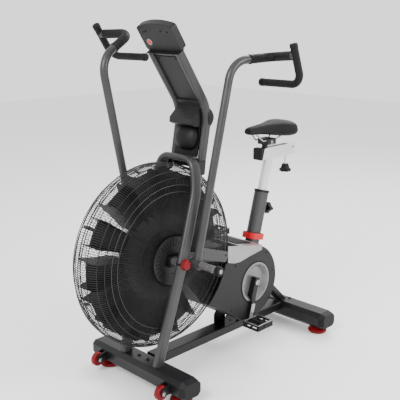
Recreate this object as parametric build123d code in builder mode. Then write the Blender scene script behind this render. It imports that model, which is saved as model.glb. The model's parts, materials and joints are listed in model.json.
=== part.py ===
"""Air bike: fan cage, fork and mast frame, swing arms, crank drive and adjustable saddle."""
import os

from build123d import *

os.makedirs("parts", exist_ok=True)

# ---------------------------------------------------------------- driving sizes, millimetres
# +X points to the rear of the bike, +Y to the rider's right, +Z up.
# The origin is on the floor under the middle of the bike.
overall_length = 1213.0
guard_radius = 363.0
fan_x = guard_radius - overall_length / 2
fan_z = 514.5

stabilizer_width = 96.0
stabilizer_bottom = 30.0
stabilizer_top = 104.0
stabilizer_chamfer = 17.0
stabilizer_half_length = 250.0
end_cap_length = 28.0
front_stabilizer_aft = -72.0
rear_stabilizer_aft = 802.0

rail_width = 68.0
rail_bottom = 64.0
rail_top = 102.0

guard_side = 93.5
guard_flat_radius = 292.0
guard_inner_ring = 265.0
guard_hub_radius = 93.0
guard_rim_half_width = 41.0
wire = 1.5

shroud_half_width = 112.0
shroud_wall = 3.5
crank_aft = 473.0
crank_z = 303.0
crank_length = 165.0
crank_lean = 17.5
crank_disc_radius = 88.0
pedal_centre = 172.0

pivot_aft = 54.0
pivot_z = 507.0
arm_tube_radius = 15.8
left_arm_angle = 13.85
right_arm_angle = -11.36

seat_tube_angle = 15.3
seat_tube_base_aft = 484.0
seat_tube_length = 577.0

mast_half_gap = 75.0
console_half_width = 94.0
console_tilt = 33.7

steel_wall = 2.5
fit = 0.3


def aft(distance):
    """Row-frame X of a point that lies this far behind the fan axle."""
    return fan_x + distance


def save(piece, name):
    """Label one finished piece and write it."""
    piece.part.label = name
    export_step(piece.part, f"parts/{name}.step")


def side_plane(y):
    """A plane across the bike at Y = y, with local x rearward and local y up."""
    return Plane(origin=(0, y, 0), x_dir=(1, 0, 0), z_dir=(0, -1, 0))


def along(start, end):
    """A plane at start whose normal points at end, with local x as near rearward as it can be."""
    direction = Vector(*end) - Vector(*start)
    across = Vector(0, 1, 0).cross(direction)
    return Plane(origin=start, x_dir=across, z_dir=direction)


def flat_oval(length, width):
    """Flat-sided oval section, long side on local x."""
    SlotOverall(length, width)


# ---------------------------------------------------------------- base
def stabilizer_section(inset=0.0):
    height = stabilizer_top - stabilizer_bottom
    outline = Rectangle(stabilizer_width - 2 * inset, height - 2 * inset)
    chamfer(outline.vertices(), stabilizer_chamfer - 0.6 * inset)


def stabilizer_plane(aft_distance, y):
    middle = (stabilizer_top + stabilizer_bottom) / 2
    return Plane(origin=(aft(aft_distance), y, middle), x_dir=(1, 0, 0), z_dir=(0, -1, 0))


with BuildPart() as stabilizers:
    for distance in (front_stabilizer_aft, rear_stabilizer_aft):
        with BuildSketch(stabilizer_plane(distance, stabilizer_half_length)):
            stabilizer_section()
        extrude(amount=2 * stabilizer_half_length)
        with BuildSketch(stabilizer_plane(distance, stabilizer_half_length)):
            stabilizer_section(3.0)
        extrude(amount=2 * stabilizer_half_length, mode=Mode.SUBTRACT)
save(stabilizers, "stabilizers")

with BuildPart() as end_caps:
    for distance in (front_stabilizer_aft, rear_stabilizer_aft):
        with BuildSketch(stabilizer_plane(distance, -stabilizer_half_length)):
            stabilizer_section()
        extrude(amount=end_cap_length, taper=14)
        with BuildSketch(stabilizer_plane(distance, -stabilizer_half_length)):
            stabilizer_section(3.0 + fit)
        extrude(amount=-18)
    mirror(about=Plane.XZ)
save(end_caps, "stabilizer_end_caps")

rail_front = front_stabilizer_aft + stabilizer_width / 2
rail_rear = rear_stabilizer_aft - stabilizer_width / 2
rail_middle = (rail_bottom + rail_top) / 2
with BuildPart() as base_rail:
    with BuildSketch(Plane(origin=(aft(rail_front), 0, rail_middle), x_dir=(0, 1, 0), z_dir=(1, 0, 0))):
        RectangleRounded(rail_width, rail_top - rail_bottom, 5)
        RectangleRounded(rail_width - 6, rail_top - rail_bottom - 6, 3, mode=Mode.SUBTRACT)
    extrude(amount=rail_rear - rail_front)
save(base_rail, "base_rail")

with BuildPart() as shroud_bracket:
    for y in (-rail_width / 2 + 4, rail_width / 2):
        with BuildSketch(side_plane(y)):
            with BuildLine():
                Polyline(
                    (aft(366), rail_top), (aft(436), rail_top), (aft(436), 158), (aft(380), 158), (aft(366), 140),
                    close=True,
                )
            make_face()
        extrude(amount=4)
    with Locations((aft(408), 0, 156)):
        Box(56, rail_width - 8, 4)

# Feet: wide pads on screws; the front pair is fixed and the rear pair turns to level the bike.
foot_y = 215.0


def foot(aft_distance, y):
    """One pad with its short stem, turned about its own vertical axis."""
    x = aft(aft_distance)
    with BuildPart() as pad:
        with BuildSketch(side_plane(y)):
            with BuildLine():
                Polyline(
                    (x, 0), (x + 38, 0), (x + 42, 5), (x + 42, 13), (x + 24, 23), (x + 12, 24),
                    (x + 12, stabilizer_bottom), (x, stabilizer_bottom), close=True,
                )
            make_face()
        revolve(axis=Axis((x, y, 0), (0, 0, 1)))
    return pad.part


with BuildPart() as front_feet:
    add(foot(front_stabilizer_aft, -foot_y))
    add(foot(front_stabilizer_aft, foot_y))
save(front_feet, "front_feet")

for side, name in ((-1, "left_rear_foot"), (1, "right_rear_foot")):
    with BuildPart() as rear_foot:
        add(foot(rear_stabilizer_aft, side * foot_y))
    save(rear_foot, name)

# Transport wheels on cheek brackets ahead of the front stabilizer.
wheel_y = 192.0
wheel_z = 58.0
wheel_radius = 28.0
wheel_aft = front_stabilizer_aft - stabilizer_width / 2 - 34
wheel_axle_radius = 5.0
for side, name in ((-1, "left_wheel"), (1, "right_wheel")):
    with BuildPart() as wheel:
        with BuildSketch(side_plane(side * wheel_y + 11)):
            with Locations((aft(wheel_aft), wheel_z)):
                Circle(wheel_radius)
                Circle(wheel_axle_radius + 0.05, mode=Mode.SUBTRACT)
        extrude(amount=22)
        fillet(wheel.edges().filter_by(GeomType.CIRCLE).group_by(SortBy.RADIUS)[-1], 5)
    save(wheel, name)

with BuildPart() as wheel_brackets:
    front_face = front_stabilizer_aft - stabilizer_width / 2
    for y in (-wheel_y + 17, -wheel_y - 12):
        with BuildSketch(side_plane(y)):
            with BuildLine():
                Polyline(
                    (aft(front_face), 48), (aft(front_face), 86), (aft(wheel_aft - 6), 80),
                    (aft(wheel_aft - 13), 62), (aft(wheel_aft - 6), 48), close=True,
                )
            make_face()
        extrude(amount=5)
    with Locations((aft(front_face - 1.5), -wheel_y, 67)):
        Box(3, 24, 36)
    with BuildSketch(side_plane(-wheel_y + 17)):
        with Locations((aft(wheel_aft), wheel_z)):
            Circle(wheel_axle_radius)
    extrude(amount=34)
    mirror(about=Plane.XZ)
save(wheel_brackets, "wheel_brackets")

# ---------------------------------------------------------------- seat tube and rear strut
tube_dx = 0.2638730
tube_dz = 0.9645574


def on_seat_tube(distance):
    """A point on the seat tube's axis, this far up from its foot."""
    return (aft(seat_tube_base_aft) + distance * tube_dx, 0, rail_top + distance * tube_dz)


def seat_tube_plane(distance):
    return Plane(origin=on_seat_tube(distance), x_dir=(tube_dz, 0, -tube_dx), z_dir=(tube_dx, 0, tube_dz))


seat_tube_long = 78.0
seat_tube_wide = 40.0
post_long = 50.0
post_wide = 28.0
bracket_radius = 24.0
with BuildPart() as seat_tube:
    # A web ahead of the tube carries the crank's bearing shell.
    with Locations((aft(500), 0, crank_z)):
        Box(60, 30, 36)
    with BuildSketch(seat_tube_plane(-30)):
        flat_oval(seat_tube_long, seat_tube_wide)
    extrude(amount=seat_tube_length + 30)
    with BuildSketch(seat_tube_plane(-30)):
        flat_oval(seat_tube_long - 5, seat_tube_wide - 5)
    extrude(amount=seat_tube_length + 30, mode=Mode.SUBTRACT)
    with BuildSketch(side_plane(100)):
        with Locations((aft(crank_aft), crank_z)):
            Circle(bracket_radius)
    extrude(amount=200, mode=Mode.SUBTRACT)
    split(bisect_by=Plane.XY.offset(rail_top), keep=Keep.TOP)
    with BuildSketch(seat_tube_plane(seat_tube_length - 70).rotated((0, 90, 0))):
        Circle(5.3)
    extrude(amount=60, mode=Mode.SUBTRACT)
    with BuildSketch(side_plane(56)):
        with Locations((aft(crank_aft), crank_z)):
            Circle(bracket_radius)
            Circle(20, mode=Mode.SUBTRACT)
    extrude(amount=112)
save(seat_tube, "seat_tube")

post_clearance = 0.1
with BuildPart() as seat_tube_collar:
    with BuildSketch(seat_tube_plane(seat_tube_length)):
        flat_oval(seat_tube_long + 4, seat_tube_wide + 4)
        SlotOverall(post_long + 2 * post_clearance, post_wide + 2 * post_clearance, mode=Mode.SUBTRACT)
    extrude(amount=7)
    with BuildSketch(seat_tube_plane(seat_tube_length)):
        flat_oval(seat_tube_long - 5.2, seat_tube_wide - 5.2)
        SlotOverall(post_long + 2 * post_clearance, post_wide + 2 * post_clearance, mode=Mode.SUBTRACT)
    extrude(amount=-45)
save(seat_tube_collar, "seat_tube_collar")

with BuildPart() as rear_strut:
    strut_foot = (aft(806), 0, 90)
    strut_head = (aft(560), 0, 330)
    with BuildSketch(along(strut_foot, strut_head)):
        RectangleRounded(28, 44, 4)
        RectangleRounded(23, 39, 2, mode=Mode.SUBTRACT)
    extrude(amount=(Vector(*strut_head) - Vector(*strut_foot)).length)
    with BuildSketch(seat_tube_plane(-30)):
        flat_oval(seat_tube_long, seat_tube_wide)
    extrude(amount=seat_tube_length, mode=Mode.SUBTRACT)
    with BuildSketch(stabilizer_plane(rear_stabilizer_aft, 60)):
        stabilizer_section()
    extrude(amount=120, mode=Mode.SUBTRACT)
    split(bisect_by=Plane.XY.offset(rail_top), keep=Keep.TOP)
save(rear_strut, "rear_strut")

# ---------------------------------------------------------------- crank bearings
crank_axle_radius = 8.5
with BuildPart() as crank_bearings:
    for y in (56, -40):
        with BuildSketch(side_plane(y)):
            with Locations((aft(crank_aft), crank_z)):
                Circle(20)
                Circle(crank_axle_radius + 0.05, mode=Mode.SUBTRACT)
        extrude(amount=16)
save(crank_bearings, "crank_bearings")

# ---------------------------------------------------------------- fork, arch and mast
axle_radius = 10.0
leg_y = 150.0
leg_foot = (aft(-80), -94, stabilizer_top)
leg_knee = (aft(0), -leg_y, fan_z)
arch_shoulder = (aft(112), -114, 778)
arch_corner = (aft(128), -84, 884)
leg_long = 48.0
leg_wide = 26.0
with BuildPart() as fork_legs:
    with BuildSketch(along((leg_foot[0] - 8, leg_foot[1] + 5.6, leg_foot[2] - 41), leg_knee)):
        flat_oval(leg_long, leg_wide)
        SlotOverall(leg_long - 6, leg_wide - 6, mode=Mode.SUBTRACT)
    extrude(amount=480)
    split(bisect_by=Plane.XY.offset(stabilizer_top), keep=Keep.TOP)
    split(bisect_by=Plane.XY.offset(fan_z), keep=Keep.BOTTOM)
    with BuildSketch(side_plane(0)):
        with Locations((aft(0), fan_z)):
            Circle(axle_radius)
    extrude(amount=200, mode=Mode.SUBTRACT)
    mirror(about=Plane.XZ)
save(fork_legs, "fork_legs")

with BuildPart() as arch_outside:
    with BuildLine() as arch_path:
        FilletPolyline(
            leg_knee, arch_shoulder, arch_corner, (arch_corner[0], -arch_corner[1], arch_corner[2]),
            (arch_shoulder[0], -arch_shoulder[1], arch_shoulder[2]), (leg_knee[0], leg_y, leg_knee[2]),
            radius=(300, 48, 48, 300),
        )
    with BuildSketch(along(leg_knee, arch_shoulder)):
        flat_oval(leg_long, leg_wide - 1)
    sweep(transition=Transition.ROUND)

with BuildPart() as arch_inside:
    with BuildLine() as arch_path:
        FilletPolyline(
            leg_knee, arch_shoulder, arch_corner, (arch_corner[0], -arch_corner[1], arch_corner[2]),
            (arch_shoulder[0], -arch_shoulder[1], arch_shoulder[2]), (leg_knee[0], leg_y, leg_knee[2]),
            radius=(300, 48, 48, 300),
        )
    with BuildSketch(along(leg_knee, arch_shoulder)):
        SlotOverall(leg_long - 6, leg_wide - 7)
    sweep(transition=Transition.ROUND)

with BuildPart() as fork_arch:
    add(arch_outside.part)
    add(arch_inside.part, mode=Mode.SUBTRACT)
    split(bisect_by=Plane.XY.offset(fan_z), keep=Keep.TOP)
    with BuildSketch(side_plane(200)):
        with Locations((aft(0), fan_z)):
            Circle(axle_radius)
    extrude(amount=400, mode=Mode.SUBTRACT)
save(fork_arch, "fork_arch")

mast_foot = (aft(174), 845)
mast_elbow = (aft(214), 1062)
mast_head = (aft(64), 1288)
with BuildPart() as mast_tubes:
    with BuildLine() as mast_path:
        FilletPolyline(
            (mast_foot[0], -mast_half_gap, mast_foot[1]), (mast_elbow[0], -mast_half_gap, mast_elbow[1]),
            (mast_head[0], -mast_half_gap, mast_head[1]), radius=150,
        )
    with BuildSketch(Plane(origin=mast_path.line @ 0, x_dir=(0, 1, 0), z_dir=mast_path.line % 0)):
        RectangleRounded(25, 35, 11)
        RectangleRounded(20, 30, 8.5, mode=Mode.SUBTRACT)
    sweep()
    mirror(about=Plane.XZ)
save(mast_tubes, "mast_tubes")

with BuildPart() as mast_bracket:
    with Locations((aft(174), 0, 862)):
        Box(30, 2 * mast_half_gap - 26, 34)
    with BuildSketch(side_plane(-mast_half_gap - 12.6)):
        with BuildLine():
            Polyline(
                (aft(130), 872), (aft(130), 822), (aft(146), 816), (aft(178), 822), (aft(184), 874), close=True,
            )
        make_face()
    extrude(amount=6)
    mirror(about=Plane.XZ)
    add(arch_outside.part, mode=Mode.SUBTRACT)
    add(mast_tubes.part, mode=Mode.SUBTRACT)
save(mast_bracket, "mast_bracket")

# ---------------------------------------------------------------- fan axle, stays, pivots and pegs
stay_inner = 97.3
stay_outer = 107.0
spacer_outer = leg_y - leg_wide / 2
pivot_radius = 10.0
peg_inner = 192.0
peg_outer = 292.0
with BuildPart() as fan_axle:
    with BuildSketch(side_plane(166)):
        with Locations((aft(0), fan_z)):
            Circle(axle_radius)
    extrude(amount=332)

with BuildPart() as axle_spacers:
    with BuildSketch(side_plane(-stay_outer)):
        with Locations((aft(0), fan_z)):
            Circle(19)
            Circle(axle_radius, mode=Mode.SUBTRACT)
    extrude(amount=spacer_outer - stay_outer - 1)
    add(fork_legs.part, mode=Mode.SUBTRACT)
    add(fork_arch.part, mode=Mode.SUBTRACT)
    mirror(about=Plane.XZ)

with BuildPart() as stepped_axle:
    add(fan_axle.part)
    add(axle_spacers.part)
save(stepped_axle, "fan_axle")

with BuildPart() as axle_caps:
    with BuildSketch(side_plane(-163.2)):
        with Locations((aft(0), fan_z)):
            RegularPolygon(23, 6, rotation=15)
    extrude(amount=16, taper=12)
    fillet(axle_caps.faces().sort_by(Axis.Y)[0].edges(), 3)
    with BuildSketch(side_plane(-150)):
        with Locations((aft(0), fan_z)):
            Circle(axle_radius)
    extrude(amount=16.2, mode=Mode.SUBTRACT)
    mirror(about=Plane.XZ)
save(axle_caps, "axle_caps")

with BuildPart() as frame_stays:
    with BuildSketch(side_plane(-stay_inner)):
        with BuildLine():
            Polyline(
                (aft(-24), 494), (aft(-24), 535), (aft(80), 532), (aft(300), 478), (aft(395), 440),
                (aft(395), 404), (aft(300), 440), (aft(80), 486), close=True,
            )
        make_face()
        with Locations((aft(0), fan_z)):
            Circle(axle_radius, mode=Mode.SUBTRACT)
        with Locations((aft(pivot_aft), pivot_z)):
            Circle(pivot_radius, mode=Mode.SUBTRACT)
    extrude(amount=stay_outer - stay_inner)
    mirror(about=Plane.XZ)
save(frame_stays, "frame_stays")

# The crossbar joins both stays to the seat tube inside the casing.
with BuildPart() as stay_crossbar:
    with Locations((aft(385), 0, 411)):
        Box(20, 2 * stay_inner, 12)
    with Locations((aft(475), 0, 406)):
        Box(180, 24, 20)
    with BuildSketch(seat_tube_plane(-30)):
        flat_oval(seat_tube_long, seat_tube_wide)
    extrude(amount=seat_tube_length, mode=Mode.SUBTRACT)

with BuildPart() as frame_brackets:
    add(shroud_bracket.part)
    add(stay_crossbar.part)
save(frame_brackets, "frame_brackets")

with BuildPart() as pivot_shafts:
    with BuildSketch(side_plane(-stay_inner)):
        with Locations((aft(pivot_aft), pivot_z)):
            Circle(pivot_radius)
    extrude(amount=peg_outer + 2 - stay_inner)
    with BuildSketch(side_plane(-stay_outer)):
        with Locations((aft(pivot_aft), pivot_z)):
            Circle(16)
    extrude(amount=30)
    mirror(about=Plane.XZ)
save(pivot_shafts, "pivot_shafts")

with BuildPart() as foot_pegs:
    with BuildSketch(side_plane(-peg_inner)):
        with Locations((aft(pivot_aft), pivot_z)):
            Circle(14)
            with PolarLocations(14, 18):
                Circle(1.2, mode=Mode.SUBTRACT)
            Circle(pivot_radius, mode=Mode.SUBTRACT)
    extrude(amount=peg_outer - peg_inner - 14)
    mirror(about=Plane.XZ)
save(foot_pegs, "foot_pegs")

with BuildPart() as peg_caps:
    with BuildSketch(side_plane(-peg_outer + 14)):
        with Locations((aft(pivot_aft), pivot_z)):
            Circle(17.5)
    extrude(amount=20)
    fillet(peg_caps.edges().filter_by(GeomType.CIRCLE).sort_by(Axis.Y)[0], 3)
    with BuildSketch(side_plane(-peg_outer + 14)):
        with Locations((aft(pivot_aft), pivot_z)):
            Circle(pivot_radius)
    extrude(amount=16, mode=Mode.SUBTRACT)
    mirror(about=Plane.XZ)
save(peg_caps, "peg_caps")

# ---------------------------------------------------------------- fan guard
guard_wall = 2.5
guard_bars = 24
guard_windows = ((97.0, 160.0), (164.0, 225.0), (229.0, 262.0), (268.0, 288.0), (296.0, 346.0))


def guard_half():
    """The left half of the cage: a dished shell, opened between its bars and rings."""
    with BuildPart() as half:
        with BuildSketch(Plane.YZ.offset(aft(0))):
            with BuildLine():
                Polyline(
                    (-guard_side, fan_z + 30), (-guard_side, fan_z + guard_flat_radius),
                    (-62, fan_z + 342), (-guard_rim_half_width, fan_z + guard_radius),
                    (-fit / 2, fan_z + guard_radius), (-fit / 2, fan_z + guard_radius - guard_wall),
                    (-guard_rim_half_width + 1, fan_z + guard_radius - guard_wall), (-60, fan_z + 340),
                    (-guard_side + guard_wall, fan_z + guard_flat_radius - 1),
                    (-guard_side + guard_wall, fan_z + 30), close=True,
                )
            make_face()
        revolve(axis=Axis((aft(0), 0, fan_z), (0, 1, 0)))
        with BuildSketch(side_plane(-40)):
            with Locations((aft(0), fan_z)):
                for inner, outer in guard_windows:
                    Circle(outer)
                    Circle(inner, mode=Mode.SUBTRACT)
                with PolarLocations(200, guard_bars):
                    Rectangle(320, 4, mode=Mode.SUBTRACT)
        extrude(amount=80, mode=Mode.SUBTRACT)
    return half.part


# The belt runs in through two slots in the right half's rear shoulder.
belt_y = 80.0
with BuildPart() as guard_halves:
    add(guard_half())
    mirror(about=Plane.XZ)
    with Locations((aft(305), belt_y, 455)):
        Box(80, 24, 50, mode=Mode.SUBTRACT)
    with Locations((aft(254), belt_y, 326)):
        Box(80, 24, 70, mode=Mode.SUBTRACT)
save(guard_halves, "guard_halves")

with BuildPart() as hub_plates:
    with BuildSketch(side_plane(-guard_side)):
        with Locations((aft(0), fan_z)):
            Circle(guard_hub_radius + 2)
            Circle(axle_radius, mode=Mode.SUBTRACT)
    extrude(amount=1.5)
    with BuildSketch(side_plane(-guard_side)):
        with Locations((aft(0), fan_z)):
            Circle(guard_hub_radius + 2)
            Circle(guard_hub_radius - 5, mode=Mode.SUBTRACT)
            Circle(58)
            Circle(54, mode=Mode.SUBTRACT)
    extrude(amount=3.5)
    with BuildSketch(side_plane(-guard_side)):
        with Locations((aft(0), fan_z)):
            with PolarLocations(72, 30):
                Rectangle(20, 3)
    extrude(amount=6, both=True, mode=Mode.SUBTRACT)
    mirror(about=Plane.XZ)
save(hub_plates, "guard_hub_plates")

# ---------------------------------------------------------------- fan wheel
fan_half_width = 60.0
fan_radius = 336.0
fan_disc_radius = 172.0
blade_count = 26
hub_half = 68.0
with BuildPart() as fan_disc:
    with BuildSketch(Plane.YZ.offset(aft(0))):
        with BuildLine():
            Polyline(
                (-hub_half, fan_z + axle_radius + 6), (-hub_half, fan_z + 34), (-52, fan_z + 40),
                (-48, fan_z + 112), (-20, fan_z + 152), (-14, fan_z + fan_disc_radius),
                (14, fan_z + fan_disc_radius), (20, fan_z + 152), (48, fan_z + 112), (52, fan_z + 40),
                (hub_half, fan_z + 34), (hub_half, fan_z + axle_radius + 6), close=True,
            )
        make_face()
        with BuildLine():
            Polyline(
                (-49, fan_z + 43), (-45, fan_z + 111), (-17, fan_z + 151), (-11, fan_z + 165),
                (11, fan_z + 165), (17, fan_z + 151), (45, fan_z + 111), (49, fan_z + 43), close=True,
            )
        make_face(mode=Mode.SUBTRACT)
    revolve(axis=Axis((aft(0), 0, fan_z), (0, 1, 0)))
save(fan_disc, "fan_disc")

with BuildPart() as fan_bearings:
    for y in (hub_half, -hub_half + 12):
        with BuildSketch(side_plane(y)):
            with Locations((aft(0), fan_z)):
                Circle(axle_radius + 6)
                Circle(axle_radius + 0.05, mode=Mode.SUBTRACT)
        extrude(amount=12)
save(fan_bearings, "fan_bearings")

# The blades are sheet-metal pairs: two radial plates joined by a web half way across.
blade_half_depth = 55.0
pair_count = blade_count // 2
pair_half_angle = 9.6
pair_sheet = 2.0
blade_root = fan_disc_radius + 0.05
pair_sine = 0.1668
pair_cosine = 0.9860
fan_line = Axis((aft(0), 0, fan_z), (0, 1, 0))
with BuildPart() as radial_plate:
    with Locations((aft(0) + (fan_radius + blade_root) / 2, 0, fan_z)):
        Box(fan_radius - blade_root - 0.8, 2 * blade_half_depth, pair_sheet)
with BuildPart() as blade_pair:
    with BuildSketch(Plane(origin=(aft(0), pair_sheet / 2, fan_z), x_dir=(1, 0, 0), z_dir=(0, -1, 0))):
        with BuildLine():
            Polyline(
                (0, 0), (fan_radius * pair_cosine, fan_radius * pair_sine),
                (fan_radius * pair_cosine, -fan_radius * pair_sine), close=True,
            )
        make_face()
        Circle(blade_root, mode=Mode.SUBTRACT)
    extrude(amount=pair_sheet)
    add(radial_plate.part.rotate(fan_line, pair_half_angle))
    add(radial_plate.part.rotate(fan_line, -pair_half_angle))
with BuildPart() as fan_blades:
    for turn in range(pair_count):
        add(blade_pair.part.rotate(fan_line, 360 / pair_count * (turn + 0.5)))
save(fan_blades, "fan_blades")

# ---------------------------------------------------------------- belt drive
crank_pulley_radius = 98.0
fan_pulley_radius = 28.0
belt_width = 12.0
with BuildPart() as fan_pulley:
    with BuildSketch(side_plane(hub_half + 22)):
        with Locations((aft(0), fan_z)):
            Circle(fan_pulley_radius + 4)
            Circle(axle_radius + 0.05, mode=Mode.SUBTRACT)
    extrude(amount=22)
    with BuildSketch(side_plane(belt_y + belt_width / 2 + 1)):
        with Locations((aft(0), fan_z)):
            Circle(fan_pulley_radius + 6)
            Circle(fan_pulley_radius, mode=Mode.SUBTRACT)
    extrude(amount=belt_width + 2, mode=Mode.SUBTRACT)
save(fan_pulley, "fan_pulley")

with BuildPart() as crank_pulley:
    with BuildSketch(side_plane(belt_y + belt_width / 2 + 3)):
        with Locations((aft(crank_aft), crank_z)):
            Circle(crank_pulley_radius)
            with PolarLocations(60, 6):
                Circle(18, mode=Mode.SUBTRACT)
            Circle(crank_axle_radius, mode=Mode.SUBTRACT)
    extrude(amount=belt_width + 6)
save(crank_pulley, "crank_pulley")


def belt_loop(gap):
    """The area inside a loop round both pulleys, this far off their rims."""
    with BuildSketch(side_plane(belt_y + belt_width / 2)) as loop:
        with Locations((aft(0), fan_z)):
            Circle(fan_pulley_radius + gap)
        with Locations((aft(crank_aft), crank_z)):
            Circle(crank_pulley_radius + gap)
        make_hull(loop.edges())
    return loop.sketch


with BuildPart() as drive_belt:
    extrude(belt_loop(fit + 3.5), amount=belt_width)
    extrude(belt_loop(fit), amount=belt_width, mode=Mode.SUBTRACT)
save(drive_belt, "drive_belt")

# ---------------------------------------------------------------- cranks and pedals
crank_seat = 97.0
crank_span = 121.0
spindle_radius = 7.0
lean_sin = 0.3007058
lean_cos = 0.9537169
pedal_length = 97.0
pedal_width = 85.0
pedal_thickness = 24.0
with BuildPart() as crank_axle:
    with BuildSketch(side_plane(crank_span - 4)):
        with Locations((aft(crank_aft), crank_z)):
            Circle(crank_axle_radius)
    extrude(amount=2 * crank_span - 8)
save(crank_axle, "crank_axle")

with BuildPart() as crank_discs:
    with BuildSketch(Plane.YZ.offset(aft(crank_aft))):
        with BuildLine():
            Polyline(
                (-93, crank_z + crank_axle_radius), (-93, crank_z + 66), (-111.5, crank_z + 80),
                (-111.5, crank_z + crank_disc_radius), (-114, crank_z + crank_disc_radius),
                (-114, crank_z + 79), (-96, crank_z + 65), (-96, crank_z + crank_axle_radius), close=True,
            )
        make_face()
    revolve(axis=Axis((aft(crank_aft), 0, crank_z), (0, 1, 0)))
    mirror(about=Plane.XZ)
save(crank_discs, "crank_discs")


def crank_arm_plane(side):
    """Through the crank axis, with local x outward along Y and local y along the arm."""
    return Plane(
        origin=(aft(crank_aft), 0, crank_z), x_dir=(0, side, 0), z_dir=(lean_cos, 0, -lean_sin),
    )


with BuildPart() as crank_arms:
    for side in (-1, 1):
        with BuildSketch(crank_arm_plane(side)):
            with BuildLine():
                Polyline(
                    (crank_seat, -20), (crank_seat, 62), (117, 78), (117, crank_length + 15),
                    (128, crank_length + 15), (128, 90), (crank_span, 66), (crank_span, -20), close=True,
                )
            make_face()
        extrude(amount=13, both=True)
    fillet(crank_arms.edges().filter_by(Axis.Y).group_by(Axis.Z)[0], 9)
    fillet(crank_arms.edges().filter_by(Axis.Y).group_by(Axis.Z)[-1], 9)
    with BuildSketch(side_plane(200)):
        with Locations((aft(crank_aft), crank_z)):
            Circle(crank_axle_radius)
    extrude(amount=400, mode=Mode.SUBTRACT)
save(crank_arms, "crank_arms")


def spindle_centre(side):
    """Row-frame X and Z of one pedal spindle; the two cranks point opposite ways."""
    return (aft(crank_aft) + side * crank_length * lean_sin, crank_z + side * crank_length * lean_cos)


with BuildPart() as pedal_spindles:
    for side in (-1, 1):
        with BuildSketch(side_plane(side * 128)):
            with Locations(spindle_centre(side)):
                Circle(spindle_radius)
        extrude(amount=-side * (pedal_centre + pedal_width / 2 - 4 - 128))
save(pedal_spindles, "pedal_spindles")

for side, name in ((-1, "left_pedal"), (1, "right_pedal")):
    with BuildPart() as pedal:
        with BuildSketch(side_plane(side * (pedal_centre - pedal_width / 2))):
            with Locations(spindle_centre(side)):
                RectangleRounded(pedal_length, pedal_thickness, 8)
        extrude(amount=-side * pedal_width)
        for offset_x in (-31, 31):
            for offset_y in (-19, 19):
                with Locations((spindle_centre(side)[0] + offset_x, side * pedal_centre + offset_y, spindle_centre(side)[1])):
                    Box(26, 28, 40, mode=Mode.SUBTRACT)
        with BuildSketch(side_plane(side * 120)):
            with Locations(spindle_centre(side)):
                Circle(spindle_radius + 0.05)
        extrude(amount=-side * (pedal_centre + pedal_width / 2 - 3.9 - 120), mode=Mode.SUBTRACT)
    save(pedal, name)

# ---------------------------------------------------------------- swing arms and handles
grip_core_radius = 11.0
grip_radius = 14.7
upper_grip_radius = 17.5
grip_gap = 0.05


def on_arm(side, angle, x, y, z):
    """A point given beside the upright arm, swung about the pivot by the arm's angle."""
    turned = Vector(x, y * -side, z).rotate(Axis.Y, angle)
    return (aft(pivot_aft) + turned.X, turned.Y, pivot_z + turned.Z)


for side, angle, name in ((-1, left_arm_angle, "left"), (1, right_arm_angle, "right")):
    arm_root = on_arm(side, angle, 0, -173, 0)
    arm_bend = on_arm(side, angle, 0, -175, 767)
    arm_reach = on_arm(side, angle, 183, -205, 822)
    arm_end = on_arm(side, angle, 147, -347, 825)
    grip_start = Vector(*arm_bend) * 0.56 + Vector(*arm_reach) * 0.44
    joint_start = Vector(*arm_reach) * 0.64 + Vector(*arm_end) * 0.36
    joint_reach = Vector(*arm_end) - joint_start
    grip_end = Vector(*arm_end) - joint_reach.normalized() * 19
    bar_top = on_arm(side, angle, 129, -342, 862)
    bar_corner = on_arm(side, angle, 195, -361, 726)
    bar_end = on_arm(side, angle, 202, -161, 726)
    with BuildPart() as swing_arm:
        with BuildLine() as arm_path:
            FilletPolyline(arm_root, arm_bend, arm_reach, arm_end, radius=(90, 45))
        with BuildSketch(Plane(origin=arm_path.line @ 0, z_dir=arm_path.line % 0)):
            Circle(arm_tube_radius)
            Circle(arm_tube_radius - steel_wall, mode=Mode.SUBTRACT)
        sweep()
        with BuildSketch(side_plane(side * 171 + 20)):
            with Locations((aft(pivot_aft), pivot_z)):
                Circle(21)
        extrude(amount=40)
        with BuildLine() as bar_path:
            FilletPolyline(bar_top, bar_corner, bar_end, radius=42)
        with BuildSketch(Plane(origin=bar_path.line @ 0, z_dir=bar_path.line % 0)) as bar_core:
            Circle(grip_core_radius)
        sweep(sections=bar_core.sketch, path=bar_path.line)
        with BuildSketch(side_plane(side * 171 + 20)):
            with Locations((aft(pivot_aft), pivot_z)):
                Circle(pivot_radius + 0.05)
        extrude(amount=40, mode=Mode.SUBTRACT)
    save(swing_arm, f"{name}_arm")

    with BuildPart() as grips:
        with BuildLine() as bar_path:
            FilletPolyline(bar_top, bar_corner, bar_end, radius=42)
        with BuildSketch(Plane(origin=bar_path.line @ 0, z_dir=bar_path.line % 0)):
            Circle(grip_radius)
            Circle(grip_core_radius + grip_gap, mode=Mode.SUBTRACT)
        sweep()
        with BuildSketch(Plane(origin=joint_start, z_dir=joint_reach)):
            Circle(arm_tube_radius + grip_gap)
        extrude(amount=joint_reach.length + 0.5, mode=Mode.SUBTRACT)
    with BuildPart() as upper_grip:
        with BuildLine() as grip_path:
            FilletPolyline(grip_start, arm_reach, grip_end, radius=45)
        with BuildSketch(Plane(origin=grip_path.line @ 0, z_dir=grip_path.line % 0)):
            Circle(upper_grip_radius)
            Circle(arm_tube_radius + grip_gap, mode=Mode.SUBTRACT)
        sweep()
    with BuildPart() as both_grips:
        add(grips.part)
        add(upper_grip.part)
    save(both_grips, f"{name}_grips")

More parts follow.
